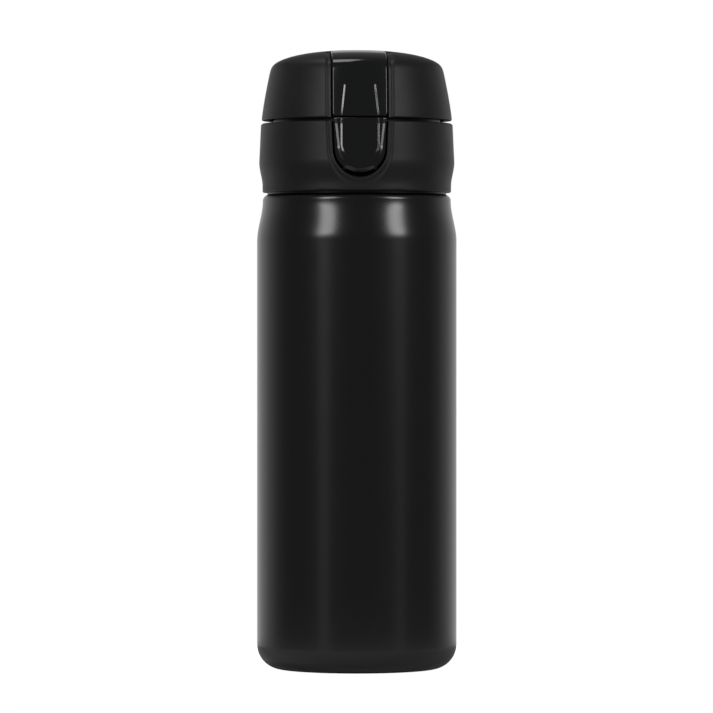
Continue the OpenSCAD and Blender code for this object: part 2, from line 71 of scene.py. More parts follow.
# Bottle, as the CAD has it. The lip is rounder than the CAD's.
BASE_CORNER_R = 8
SHOULDER_IN = 1.9
SHOULDER_H = 15.3
LIP_ROUND = 2.0
STEEL_WALL = 0.6
FOOT_IN_R = 22
NECK_OUT_R = 24.6
BASE_DIMPLE_R = 6.5
BASE_DIMPLE_H = 0.25
BASE_DIMPLE_ROUND = 0.3
BASE_PLATE_ROUND = 0.8

# Collar and button
COLLAR_IN_R = 29.8
COLLAR_FOOT_R = 31.2
COLLAR_MAX_R = 32.3
COLLAR_STEP_Z = COLLAR_Z + 2
COLLAR_MAX_Z = COLLAR_Z + 10
COLLAR_TOP_R = 31.75
COLLAR_ROUND = 0.8
COLLAR_LID_T = 1.5
COLLAR_FOOT_T = 0.3
COLLAR_RIM_GAP = 0.15
COLLAR_FRONT_HALF_W = 14.5
EDGE_ROUND = 0.4
POCKET_DROP = 0.5
POCKET_REACH = 2.1
POCKET_LOW_REACH = 0.9
POCKET_FADE = 1.3
POCKET_LOW_GAP = 0.8
POCKET_ROUND = 0.5
POCKET_LOW_ROUND = 0.4
BUTTON_TOP = LID_Z - 0.1
BUTTON_HALF_W = 8.75
BUTTON_LOW_HALF_W = 8.3
BUTTON_LOW_Z = COLLAR_Z + 13.8
BUTTON_BACK_R = 30.4
BUTTON_THINNEST = 0.3
BUTTON_EDGE = 0.08
BUTTON_CLEAR_R = 29.95
BUTTON_GAP = 0.5
BUTTON_LEAN = 0.65
BUTTON_LEAN_BELOW = 4
BUTTON_TOP_ROUND = 0.35
BUTTON_SIDE_ROUND = 0.2
FACE_HALF_W = 7.65
FACE_LOW_HALF_W = 6.6
FACE_LOW_Z = BUTTON_LOW_Z + 0.6
BAND_SLOPE = 0.26
BAND_W = 0.75
SKIRT_SLOPE = 0.4
FLATTEN = 0.42
DISH_HALF_W = 6.35
DISH_TOP_HALF_W = 5.05
DISH_LOW_Z = BUTTON_LOW_Z + 1.5
DISH_WALL = 0.6
DISH_WALL_DEPTH = 0.34
DISH_BOWL_DEPTH = 0.1

# Lid and slider
LID_FOOT_R = 31.5
LID_CREST_R = 28.55
LID_CREST_H = 17
LID_DOME_H = LID_TOP - LID_Z - LID_CREST_H
LID_SIDE_POWER = 1.25
LID_DOME_POWER = 2.4
LID_DOME_ROUND = 0.56
LID_WALL = 2.2
CHANNEL_HALF_W = 9.3
CHANNEL_DEPTH = 2.6
CHANNEL_FLOOR = 4.0
CHANNEL_SLOT_H = 5.4
CHANNEL_END_Y = -11.2
CHANNEL_CORNER = 1.6
CHANNEL_ROUND = 0.28
BEVEL_DEPTH = 0.55
BEVEL_REACH = 2.1
BEVEL_FADE = 1.3
ON_EDGE = 0.02
CHANNEL_KEEP_X = 3.5
CHANNEL_FLOOR_REACH = 1.8
FAN_R = 13.4
SLIDER_HALF_W = 9
SLIDER_Z = LID_Z + 0.4
SLIDER_END_Y = -12
SLIDER_T = 2.4
SLIDER_DISH_TOP_Z = LID_Z + 12.4
SLIDER_DISH_CORNER = 2.0
SLIDER_CORNER = 1.1
SLIDER_ROUND = 0.45
CREST_FADE = 6
STRAIGHTEN = 1.6

# Hinge notches at the back
NOTCH_HALF_W = 11.9
COLLAR_NOTCH_Z = COLLAR_TOP - 5
LID_NOTCH_Z = LID_Z + 3.3

# Spout
SPOUT_BORE_R = 9.3
SPOUT_R = 11.5
SPOUT_SOCKET_R = 12
SPOUT_SOCKET_H = 6
SPOUT_FLANGE_H = 1.5
SPOUT_FLANGE_ROUND = 0.4
SPOUT_FILLET = 0.8

# Columns at each side of a turned piece, and across its hinge notch
COLLAR_SIDE_COLUMNS = 70
COLLAR_NOTCH_COLUMNS = 25
LID_SIDE_COLUMNS = 64
LID_NOTCH_COLUMNS = 21

# Meshes: columns across the button and slider, closer together at their edges, and the join distance
COLUMN_BEND = math.pi / 2 * 0.9
PATCH_COLUMNS = np.sin(np.linspace(-1, 1, 281) * COLUMN_BEND) / math.sin(COLUMN_BEND)
JOIN = 1e-3

# Materials, in millimetres and metres
ROUGH_PATCH = 9.0
COLOR_PATCH = 14.0
BRUSH_SIZE = 1.0
BRUSH_HEIGHT = 0.01
SUBSURFACE_RADIUS = (0.004, 0.003, 0.002)

# Studio: brightness by direction, as (position, value) stops
ROOM_LEVEL = 0.09
WALL_STOPS = [(0.0, 0.0), (0.25, 0.06), (0.5, 0.22), (0.75, 0.45), (0.95, 0.62)]
HEIGHT_STOPS = [(0.0, 1.0), (0.15, 1.0), (0.45, 0.05), (1.0, 0.0)]
FLOOR_R = 0.125
FLOOR_GREY = 0.82
FLOOR_LIFT = 0.95
SOFTBOX_SIZE = (0.42, 0.52)
PANEL_SIZE = (0.3, 0.6)
STRIP_SIZE = (0.3, 0.14)
TOP_SIZE = (0.7, 0.5)
LAMP_DISTANCE = 1.4
TOP_DISTANCE = 1.3
LAMP_TARGET = (0, 0, 0.15)

# Camera, in metres and degrees
CAMERA_DISTANCE = 1.658
CAMERA_AZIMUTH = -2
CAMERA_Z = 0.1144
CAMERA_AIM = (-0.0001, 0, 0.1033)
SENSOR_W = 36
FRAME_W = 0.2361


# ---------------------------------------------------------------- shape tools

def smooth(u):
    """Smooth step from 0 to 1 as u runs from 0 to 1."""
    u = np.clip(u, 0, 1)
    return u * u * (3 - 2 * u)


def arc(cx, cy, r, a0, a1, steps=8):
    """Points on an arc, both ends included, angles in degrees."""
    a = np.radians(np.linspace(a0, a1, steps + 1))
    return np.stack([cx + r * np.cos(a), cy + r * np.sin(a)], 1)


def chain(*parts):
    """Joins runs of (r, z) points and drops points that repeat."""
    pts = np.concatenate([np.atleast_2d(np.array(p, float)) for p in parts])
    keep = np.r_[True, np.linalg.norm(np.diff(pts, axis=0), axis=1) > 1e-4]
    return pts[keep]


class Outline:
    """A turned outline, read by its own length t: radius, height and outward normal."""

    def __init__(self, pts, step=0.05):
        seg = np.linalg.norm(np.diff(pts, axis=0), axis=1)
        t = np.r_[0, np.cumsum(seg)]
        self.length = t[-1]
        n = max(2, int(self.length / step))
        self.t = np.linspace(0, self.length, n)
        self.r = np.interp(self.t, t, pts[:, 0])
        self.z = np.interp(self.t, t, pts[:, 1])
        self.set_normals()

    def soften(self, z, sigma=1.1, reach=6.0):
        """Smooths the line along its length where it passes height z."""
        step = self.t[1] - self.t[0]
        half = int(3 * sigma / step)
        weight = np.exp(-0.5 * (np.arange(-half, half + 1) * step / sigma) ** 2)
        near = smooth(1 - np.abs(self.t - self.t_at_z(z)) / reach)
        for line in (self.r, self.z):
            soft = np.convolve(np.pad(line, half, mode="edge"), weight / weight.sum(), mode="valid")
            line += (soft - line) * near
        self.set_normals()

    def set_normals(self):
        """Works out the outward normals again after the line has changed."""
        dr, dz = np.gradient(self.r), np.gradient(self.z)
        size = np.hypot(dr, dz)
        self.nr, self.nz = dz / size, -dr / size

    def at(self, t, depth=0.0):
        """Radius and height at length t, moved in by depth."""
        nr, nz = np.interp(t, self.t, self.nr), np.interp(t, self.t, self.nz)
        return np.interp(t, self.t, self.r) - depth * nr, np.interp(t, self.t, self.z) - depth * nz

    def t_at_z(self, z):
        """Length at which a rising outline reaches height z."""
        return float(self.t[np.argmax(self.z >= z - 1e-6)])


def new_mesh(name, verts, faces, body, material, replaces=(), sharp=35):
    """A smooth-shaded mesh piece from points in millimetres, which rides on a body."""
    mesh = bpy.data.meshes.new(name)
    mesh.from_pydata((np.array(verts) * MM).tolist(), [], [tuple(int(i) for i in f) for f in faces])
    mesh.validate()
    obj = bpy.data.objects.new(name, mesh)
    bpy.context.scene.collection.objects.link(obj)
    mesh.materials.append(material)
    finish_mesh(mesh, sharp)
    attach(obj, body)
    if replaces:
        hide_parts(*replaces)
    return obj


def finish_mesh(mesh, sharp):
    """Turns normals outwards and shades smooth, with an edge where faces meet at over sharp degrees."""
    bm = bmesh.new()
    bm.from_mesh(mesh)
    bmesh.ops.recalc_face_normals(bm, faces=bm.faces)
    limit = math.radians(sharp)
    for f in bm.faces:
        f.smooth = True
    for e in bm.edges:
        e.smooth = len(e.link_faces) != 2 or e.calc_face_angle(0) < limit
    bm.to_mesh(mesh)
    bm.free()


def turned(name, outline, body, material, replaces=(), segments=192, sharp=35):
    """A closed ring of (r, z) points turned about the axis."""
    pts = chain(outline)
    if np.linalg.norm(pts[0] - pts[-1]) < 1e-4:
        pts = pts[:-1]
    n = len(pts)
    verts, index = [], []
    for r, z in pts:
        if r < 1e-6:
            index.append([len(verts)] * segments)
            verts.append((0, 0, z))
        else:
            index.append(list(range(len(verts), len(verts) + segments)))
            for a in np.linspace(0, 2 * np.pi, segments, endpoint=False):
                verts.append((r * np.sin(a), -r * np.cos(a), z))
    faces = []
    for i in range(n):
        a, b = index[i], index[(i + 1) % n]
        for j in range(segments):
            k = (j + 1) % segments
            f = list(dict.fromkeys([a[j], a[k], b[k], b[j]]))
            if len(f) > 2:
                faces.append(f)
    return new_mesh(name, verts, faces, body, material, replaces, sharp)


def grid_faces(rows, cols, start=0, wrap=False):
    """Quads of a grid of points, numbered row by row."""
    last = cols if wrap else cols - 1
    return [(start + i * cols + j, start + i * cols + (j + 1) % cols,
             start + (i + 1) * cols + (j + 1) % cols, start + (i + 1) * cols + j)
            for i in range(rows - 1) for j in range(last)]


def thickened(outer, inner, faces):
    """Closes a sheet: the same faces on both sides, with walls along every open edge."""
    n = len(outer)
    sides = {}
    for f in faces:
        for a, b in zip(f, f[1:] + f[:1]):
            key = (min(a, b), max(a, b))
            sides[key] = None if key in sides else (a, b)
    walls = [(b, a, a + n, b + n) for pair in sides.values() if pair for a, b in [pair]]
    back = [tuple(i + n for i in reversed(f)) for f in faces]
    return np.concatenate([outer, inner]), list(faces) + back + walls


def merged(verts, faces, tol=1e-4):
    """Joins points that lie in the same place, and drops the faces that vanish and the unused points."""
    keys, new, order = {}, [], []
    for v in verts:
        k = tuple(np.round(v / tol).astype(int))
        if k not in keys:
            keys[k] = len(order)
            order.append(v)
        new.append(keys[k])
    out = []
    for f in faces:
        g = list(dict.fromkeys(new[i] for i in f))
        if len(g) > 2:
            out.append(tuple(g))
    used = sorted({i for f in out for i in f})
    place = {old: now for now, old in enumerate(used)}
    return np.array(order)[used], [tuple(place[i] for i in f) for f in out]


def spread(*stops):
    """Values through (value, step) stops, with about that step after each one."""
    out = []
    for (a, step), (b, _) in zip(stops, stops[1:]):
        n = max(1, round(abs(b - a) / step))
        out += list(np.linspace(a, b, n, endpoint=False))
    return np.array(out + [stops[-1][0]])


def edge_round(g, r):
    """How far a rounded edge of radius r falls away at a distance g inside it."""
    q = np.clip(r - g, 0, r)
    return r - np.sqrt(np.maximum(r * r - q * q, 0))


def rounded_strip(x, y, half_w, end_y, r):
    """Signed distance to a strip of the (x, y) plane that ends at end_y with corners of radius r.

    It is less than 0 inside the strip, which runs on without end below end_y."""
    qx, qy = np.abs(x) - (half_w - r), y - (end_y - r)
    return np.hypot(np.maximum(qx, 0), np.maximum(qy, 0)) + np.minimum(np.maximum(qx, qy), 0) - r


# ---------------------------------------------------------------- materials

def noise(tree, size_mm, detail, vector):
    """Noise whose features are about size_mm across."""
    node = tree.nodes.new("ShaderNodeTexNoise")
    node.inputs["Scale"].default_value = 1 / (size_mm * MM)
    node.inputs["Detail"].default_value = detail
    node.inputs["Roughness"].default_value = 0.6
    tree.links.new(vector, node.inputs["Vector"])
    return node.outputs["Fac"]


def stretched(tree, vector, scale):
    """The same coordinates, stretched so that noise turns into brush lines."""
    node = tree.nodes.new("ShaderNodeMapping")
    node.inputs["Scale"].default_value = scale
    tree.links.new(vector, node.inputs["Vector"])
    return node.outputs["Vector"]


def add_relief(tree, source, height_mm, below):
    """Relief of a noise, on top of the relief below it if there is one."""
    node = tree.nodes.new("ShaderNodeBump")
    node.inputs["Strength"].default_value = 1.0
    node.inputs["Distance"].default_value = height_mm * MM
    tree.links.new(source, node.inputs["Height"])
    if below:
        tree.links.new(below, node.inputs["Normal"])
    return node.outputs["Normal"]


def vary_roughness(tree, shader, roughness, change, vector):
    """Makes the roughness wander by change either way, in broad patches."""
    node = tree.nodes.new("ShaderNodeMapRange")
    node.inputs["From Min"].default_value = 0.3
    node.inputs["From Max"].default_value = 0.7
    node.inputs["To Min"].default_value = roughness - change
    node.inputs["To Max"].default_value = roughness + change
    tree.links.new(noise(tree, ROUGH_PATCH, 3.0, vector), node.inputs["Value"])
    tree.links.new(node.outputs["Result"], shader.inputs["Roughness"])


def vary_color(tree, shader, color, change, vector):
    """Makes the colour lighter and darker by a share of itself, in broad patches."""
    node = tree.nodes.new("ShaderNodeValToRGB")
    dark, light = node.color_ramp.elements
    dark.position = 0.35
    light.position = 0.65
    dark.color = (*[c * (1 - change) for c in color], 1)
    light.color = (*[c * (1 + change) for c in color], 1)
    tree.links.new(noise(tree, COLOR_PATCH, 4.0, vector), node.inputs["Fac"])
    tree.links.new(node.outputs["Color"], shader.inputs["Base Color"])


def material(name, color, roughness, mottle, rough_var, bump=(), metallic=0.0, specular=0.5,
             brushed=None, subsurface=0.0):
    """Principled material with fine procedural relief. bump is a list of (size in mm, height in mm)."""
    m = bpy.data.materials.new(name)
    m.use_nodes = True
    tree = m.node_tree
    shader = tree.nodes["Principled BSDF"]
    shader.inputs["Metallic"].default_value = metallic
    shader.inputs["Specular IOR Level"].default_value = specular
    shader.inputs["Subsurface Weight"].default_value = subsurface
    shader.inputs["Subsurface Radius"].default_value = SUBSURFACE_RADIUS
    place = tree.nodes.new("ShaderNodeTexCoord").outputs["Object"]
    grain = stretched(tree, place, brushed) if brushed else place
    relief = None
    for size, height in bump:
        relief = add_relief(tree, noise(tree, size, 2.0, place), height, relief)
    if brushed:
        relief = add_relief(tree, noise(tree, BRUSH_SIZE, 3.0, grain), BRUSH_HEIGHT, relief)
    tree.links.new(relief, shader.inputs["Normal"])
    vary_roughness(tree, shader, roughness, rough_var, grain)
    vary_color(tree, shader, color, mottle, place)
    return m


POWDER = material("satin_powder_coat", (0.0045, 0.0045, 0.0042), 0.23, 0.06, 0.01,
                  bump=[(0.9, 0.0025), (0.25, 0.0008)], specular=1.0)
MATTE = material("matte_black_plastic", (0.016, 0.016, 0.0152), 0.47, 0.12, 0.03,
                 bump=[(0.22, 0.006)], specular=0.6)
GLOSS = material("gloss_black_plastic", (0.0062, 0.0072, 0.0072), 0.13, 0.1, 0.02,
                 bump=[(6.0, 0.004)], specular=1.0)
INNER = material("inner_black_plastic", (0.010, 0.010, 0.010), 0.32, 0.1, 0.03, bump=[(0.5, 0.004)])
STEEL = material("brushed_steel", (0.58, 0.57, 0.55), 0.24, 0.04, 0.05, metallic=1.0,
                 brushed=(0.05, 0.05, 6.0))
PRESSED = material("pressed_steel", (0.52, 0.51, 0.50), 0.3, 0.05, 0.06, bump=[(0.4, 0.004)], metallic=1.0)
COPPER = material("copper_foil", (0.72, 0.40, 0.25), 0.25, 0.05, 0.06, bump=[(3.0, 0.15)], metallic=1.0)
WIRE = material("spring_steel", (0.55, 0.55, 0.56), 0.2, 0.05, 0.04, bump=[(0.15, 0.002)], metallic=1.0)
GETTER = material("getter_metal", (0.25, 0.25, 0.27), 0.5, 0.1, 0.05, bump=[(0.2, 0.01)], metallic=0.8)
BEAD = material("solder_glass", (0.18, 0.2, 0.18), 0.1, 0.1, 0.03, bump=[(1.0, 0.02)])
SILICONE = material("silicone", (0.42, 0.42, 0.40), 0.45, 0.04, 0.04, bump=[(0.4, 0.004)], subsurface=0.15)
LATCH = material("latch_plastic", (0.035, 0.035, 0.035), 0.38, 0.05, 0.04, bump=[(0.4, 0.004)])


# ---------------------------------------------------------------- outlines

def shoulder_line(t):
    """The shell's shoulder, moved in by t."""
    u = np.linspace(0, 1, 40)
    return np.stack([SHELL_R - t - SHOULDER_IN * smooth(u),
                     LIP_Z - SHOULDER_H + (SHOULDER_H - LIP_ROUND) * u], 1)


def collar_side():
    """The collar's bulging side."""
    u = np.linspace(0, 1, 40)
    return np.stack([COLLAR_FOOT_R + (COLLAR_MAX_R - COLLAR_FOOT_R) * smooth(u),
                     COLLAR_STEP_Z + (COLLAR_MAX_Z - COLLAR_STEP_Z) * u], 1)


def lid_side():
    """The lid's side, which leans in up to the crest."""
    z = np.linspace(LID_Z + EDGE_ROUND, LID_Z + LID_CREST_H, 50)
    fall = 1 - ((z - LID_Z) / LID_CREST_H) ** LID_SIDE_POWER
    return np.stack([LID_CREST_R + (LID_FOOT_R - LID_CREST_R) * fall, z], 1)


def dome_h(u):
    """Height of the dome as a share of its full height, at a share u of the crest's radius."""
    return (1 - u ** LID_DOME_POWER) ** LID_DOME_ROUND


def lid_dome():
    """The lid's top, from the crest to the middle."""
    u = np.linspace(0, 1, 90)[1:] ** 2
    return np.stack([LID_CREST_R * (1 - u), LID_Z + LID_CREST_H + LID_DOME_H * dome_h(1 - u)], 1)


# ---------------------------------------------------------------- bottle

def make_body():
    """Outer shell: rounded base, straight barrel, shoulder and rolled lip."""
    foot_r = SHELL_R - BASE_CORNER_R
    lip_r = SHELL_R - SHOULDER_IN - LIP_ROUND
    lip_z = LIP_Z - LIP_ROUND
    turned("flask_body", chain(
        [(FOOT_IN_R, 0)],
        arc(foot_r, BASE_CORNER_R, BASE_CORNER_R, -90, 0, 24),
        [(SHELL_R, z) for z in np.linspace(BASE_CORNER_R + 4, LIP_Z - SHOULDER_H - 4, 30)],
        shoulder_line(0),
        arc(lip_r, lip_z, LIP_ROUND, 0, 90, 10),
        [(NECK_OUT_R, LIP_Z), (NECK_OUT_R, LIP_Z - STEEL_WALL)],
        arc(lip_r, lip_z, LIP_ROUND - STEEL_WALL, 90, 0, 6),
        shoulder_line(STEEL_WALL)[::-1],
        arc(foot_r, BASE_CORNER_R, BASE_CORNER_R - STEEL_WALL, 0, -90, 16),
        [(FOOT_IN_R, STEEL_WALL)]),
        "bottle", POWDER, ("outer_shell",), segments=256)


def make_base_plate():
    """Cover plate under the foot: a shallow cup with a rolled edge and a round dimple."""
    r = high("base_cover")[0]
    top_z = high("base_cover")[2]
    in_r = r - STEEL_WALL
    in_z = top_z - STEEL_WALL
    soft, turn = BASE_DIMPLE_ROUND, BASE_PLATE_ROUND
    turned("base_plate", chain(
        [(0, in_z + BASE_DIMPLE_H)],
        arc(BASE_DIMPLE_R - 0.5, in_z + BASE_DIMPLE_H - soft, soft, 90, 45, 3),
        arc(BASE_DIMPLE_R + 0.5, in_z + soft, soft, 225, 270, 3),
        arc(in_r - turn, in_z - turn, turn, 90, 0, 8),
        [(in_r, STEEL_WALL / 2)],
        arc((in_r + r) / 2, STEEL_WALL / 2, STEEL_WALL / 2, 180, 360, 8),
        arc(r - turn, top_z - turn, turn, 0, 90, 8),
        [(0, top_z)]),
        "bottle", STEEL, ("base_cover",))


# ---------------------------------------------------------------- collar

def button_half_w(z):
    """Half-width of the button's outline on its straight arms."""
    u = np.clip((z - BUTTON_LOW_Z) / (BUTTON_TOP - BUTTON_LOW_Z), 0, 1)
    return BUTTON_LOW_HALF_W + (BUTTON_HALF_W - BUTTON_LOW_HALF_W) * u


def turned_front(outline, x, t, depth):
    """Places points on the front of a turned outline, at x and length t, moved in by depth."""
    r, z = outline.at(t, depth)
    return np.stack([x, -np.sqrt(np.maximum(r * r - x * x, 0)), z], -1)


def collar_outline():
    """The collar's outside, from the inner edge of its foot up and over to the stopper's rim."""
    return Outline(chain(
        [(COLLAR_IN_R, COLLAR_Z)],
        arc(COLLAR_FOOT_R - EDGE_ROUND, COLLAR_Z + EDGE_ROUND, EDGE_ROUND, -90, 0),
        collar_side(),
        arc(COLLAR_TOP_R - COLLAR_ROUND, COLLAR_TOP - COLLAR_ROUND, COLLAR_ROUND, 0, 90, 12),
        [(RIM_R + COLLAR_RIM_GAP, COLLAR_TOP)]), 0.04)


def u_line(out, arm_t, turn, gap):
    """Points round the button's U, a gap outside it: down the left arm, round the foot, up the right arm."""
    t_low = out.t_at_z(BUTTON_LOW_Z)
    left = [(-float(button_half_w(np.interp(t, out.t, out.z))) - gap[0], t) for t in arm_t]
    foot = [((BUTTON_LOW_HALF_W + g) * math.cos(a), t_low + (BUTTON_LOW_HALF_W + g) * math.sin(a))
            for a, g in zip(turn, gap[len(arm_t):])]
    return np.array(left + foot + [(-x, t) for x, t in left[::-1]])


def collar_front(out, side_t, arm_t):
    """The front of the collar: rings of points from the button's pocket out to a plain square border."""
    arm_down = arm_t[::-1]
    left = [(-COLLAR_FRONT_HALF_W, t) for t in np.r_[arm_down, side_t[::-1][1:]]]
    foot = [(x, 0.0) for x in np.linspace(-COLLAR_FRONT_HALF_W, COLLAR_FRONT_HALF_W, 41)[1:-1]]
    border = np.array(left + foot + [(-x, t) for x, t in left[::-1]])
    n = len(border)
    n_arm = len(arm_down)
    turn = np.radians(np.linspace(180, 360, n - 2 * n_arm + 2)[1:-1])
    low = np.zeros(n)
    low[n_arm:n - n_arm] = np.sin(turn) ** 2

    rings, depths = [], []
    for gap in spread((BUTTON_GAP, 0.08), (BUTTON_GAP + 0.4, 0.15), (3, 0.3), (4.6, 1)):
        inside = POCKET_REACH + POCKET_LOW_REACH * low - (gap - BUTTON_GAP)
        corner = edge_round(gap - BUTTON_GAP, POCKET_ROUND + POCKET_LOW_ROUND * low)
        rings.append(u_line(out, arm_down, turn, gap + POCKET_LOW_GAP * low))
        depths.append(POCKET_DROP * smooth(inside / POCKET_FADE) + corner)
    last = rings[-1]
    for u in np.linspace(0, 1, 12)[1:]:
        rings.append(last * (1 - u) + border * u)
        depths.append(np.zeros(n))
    ring = np.array(rings)
    depth = np.array(depths) * smooth((out.t_at_z(COLLAR_TOP) + 0.2 - ring[..., 1]) / 0.8)
    front = turned_front(out, ring[..., 0], ring[..., 1], depth)
    return front.reshape(-1, 3), grid_faces(*front.shape[:2])


def collar_back(out, t_rows, start):
    """The rest of the way round, with columns on the edges of the hinge notch, which stays open."""
    grid = []
    for r, z in zip(*out.at(t_rows)):
        a0 = math.asin(COLLAR_FRONT_HALF_W / r)
        a1 = math.pi - math.asin(NOTCH_HALF_W / r)
        side = np.linspace(a0, a1, COLLAR_SIDE_COLUMNS)
        notch = np.linspace(a1, 2 * math.pi - a1, COLLAR_NOTCH_COLUMNS)[1:-1]
        angles = np.r_[side, notch, (2 * math.pi - side)[::-1]]
        grid.append([(r * math.sin(a), -r * math.cos(a), z) for a in angles])
    grid = np.array(grid)
    points = grid.reshape(-1, 3)
    faces = []
    for f in grid_faces(*grid.shape[:2]):
        c = points[list(f)].mean(0)
        in_notch = c[1] > 0 and abs(c[0]) < NOTCH_HALF_W and c[2] > COLLAR_NOTCH_Z
        if not in_notch:
            faces.append(tuple(start + i for i in f))
    return points, faces


def collar_inside(verts):
    """The collar's inner wall, point for point behind its outside."""
    radius = np.hypot(verts[:, 0], verts[:, 1])
    inner = verts * (np.minimum(radius, COLLAR_IN_R) / radius)[:, None]
    inner[:, 2] = np.minimum(verts[:, 2], COLLAR_TOP - COLLAR_LID_T)
    foot = verts[:, 2] < COLLAR_Z + JOIN
    inner[foot, 2] = COLLAR_Z + COLLAR_FOOT_T
    return inner


def make_collar():
    """Matte collar with the U-shaped pocket in front and the hinge notch behind."""
    out = collar_outline()
    t_low = out.t_at_z(BUTTON_LOW_Z)
    t_flat = out.t_at_z(COLLAR_TOP)
    arms = spread((t_low, 0.45), (t_flat - 1.6, 0.12), (t_flat, 0.5), (out.length, 1))
    arm_t = np.unique(np.r_[arms, out.t_at_z(COLLAR_NOTCH_Z)])
    side_t = spread((0, 0.3), (1.4, 0.1), (2.2, 0.6), (t_low, 1))
    front, front_faces = collar_front(out, side_t, arm_t)
    back, back_faces = collar_back(out, np.unique(np.r_[side_t, arm_t]), len(front))
    verts, faces = merged(np.concatenate([front, back]), front_faces + back_faces, JOIN)
    verts, faces = thickened(verts, collar_inside(verts), faces)
    verts, faces = merged(verts, faces, JOIN)
    new_mesh("collar", verts, faces, "stopper", MATTE, ("stopper_collar",), sharp=50)


# ---------------------------------------------------------------- button and slider

def make_patch(name, outline, t_rows, half_w, depth, back_depth, body, replaces, t_shift=None):
    """A gloss solid that follows a turned outline: rows at lengths t_rows, as wide as half_w says."""
    w = np.array([half_w(t) for t in t_rows])
    x = w[:, None] * PATCH_COLUMNS[None, :]
    t = np.repeat(np.array(t_rows)[:, None], len(PATCH_COLUMNS), 1)
    side = w[:, None] - np.abs(x)
    if t_shift is not None:
        t = t_shift(x, t)
    front_depth = depth(x, t, side)
    front = turned_front(outline, x, t, front_depth)
    back = turned_front(outline, x, t, back_depth(t, front_depth))
    verts, faces = thickened(front.reshape(-1, 3), back.reshape(-1, 3), grid_faces(*x.shape))
    verts, faces = merged(verts, faces, JOIN)
    new_mesh(name, verts, faces, body, GLOSS, replaces, sharp=50)


def dish_fall(g, across):
    """Depth of the thumb dish at a distance g inside its edge: a short wall, then a shallow bowl.

    across runs from 0 in the middle of the bowl to 1 at its edge."""
    bowl = DISH_BOWL_DEPTH * np.maximum(1 - across ** 2, 0)
    return DISH_WALL_DEPTH * np.clip(g / DISH_WALL, 0, 1) + bowl * (g > 0)


def flatter(x, half_w):
    """Lowers the middle, so that a curved front is almost flat across."""
    return FLATTEN * np.maximum(1 - (x / half_w) ** 2, 0)


def make_button():
    """Push button: a leaning face, a bright band down each side, and the lower half of the thumb dish."""
    out = Outline(chain([(COLLAR_FOOT_R, COLLAR_Z)], collar_side(),
                        [(COLLAR_TOP_R, COLLAR_TOP - 1), (COLLAR_TOP_R, BUTTON_TOP)]), 0.04)
    t_mid = out.t_at_z(BUTTON_LOW_Z)
    dish_t = t_mid + DISH_LOW_Z - BUTTON_LOW_Z
    face_t = t_mid + FACE_LOW_Z - BUTTON_LOW_Z
    turn = np.radians(np.linspace(0.5, 89, 120))
    rows = np.r_[t_mid - BUTTON_LOW_HALF_W * np.cos(turn),
                 spread((t_mid + 0.1, 0.09), (out.length - 0.6, 0.06), (out.length, 1))]

    def half_w(t):
        if t < t_mid:
            return math.sqrt(max(BUTTON_LOW_HALF_W ** 2 - (t_mid - t) ** 2, 0))
        return float(button_half_w(np.interp(t, out.t, out.z)))

    def depth(x, t, side):
        below = BUTTON_LOW_HALF_W - np.hypot(x, np.minimum(t - t_mid, 0))
        g = np.where(t < t_mid, below, side)
        u = np.clip((t - face_t) / (out.length - face_t), 0, 1)
        face_w = FACE_LOW_HALF_W + (FACE_HALF_W - FACE_LOW_HALF_W) * u
        beyond = np.where(t < face_t, np.hypot(x, t - face_t), np.abs(x)) - face_w
        band = BAND_SLOPE * np.maximum(beyond, 0) + SKIRT_SLOPE * np.maximum(beyond - BAND_W, 0)
        lean = BUTTON_LEAN * np.clip((out.length - t) / (out.length - t_mid + BUTTON_LEAN_BELOW), 0, 1)
        top = edge_round(out.length - t, BUTTON_TOP_ROUND)
        sides = edge_round(np.maximum(g, 0), BUTTON_SIDE_ROUND)
        dish_r = np.hypot(x, np.minimum(t - dish_t, 0))
        dish = dish_fall(DISH_HALF_W - dish_r, dish_r / DISH_HALF_W)
        return flatter(x, BUTTON_HALF_W) + band + top + sides + dish - lean

    def back_depth(t, front):
        r = np.interp(t, out.t, out.r)
        back = np.maximum(r - BUTTON_BACK_R, front + BUTTON_THINNEST)
        return np.minimum(back, np.maximum(r - BUTTON_CLEAR_R, front + BUTTON_EDGE))

    make_patch("push_button", out, rows, half_w, depth, back_depth, "button", ("open_button",))


